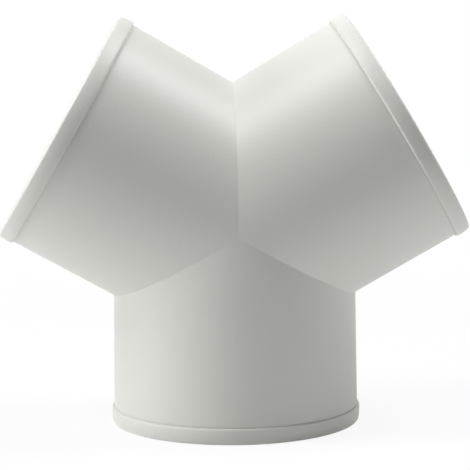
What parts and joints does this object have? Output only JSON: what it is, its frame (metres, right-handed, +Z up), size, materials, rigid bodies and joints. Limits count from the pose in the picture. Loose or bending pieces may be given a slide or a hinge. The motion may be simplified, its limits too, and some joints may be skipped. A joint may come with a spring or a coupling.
{
  "type": "duct wye",
  "caption": "Moulded plastic duct wye: equal round tubes that meet at 120 degrees, each ending in a banded socket with a stop shoulder for round ventilation duct.",
  "frame": {"origin": "centre of the stem's mouth, which the wye stands on", "axes": "+Z up along the stem, the other two tubes rise to -X and +X at 30 degrees above level, and all three axes lie in the XZ plane; the picture's front is -Y"},
  "size_m": [0.199, 0.1062, 0.1725],
  "materials": {
    "wye_plastic": "satin, off-white"
  },
  "bodies": {
    "root": {"wye_body": "wye_plastic"}
  },
  "joints": []
}
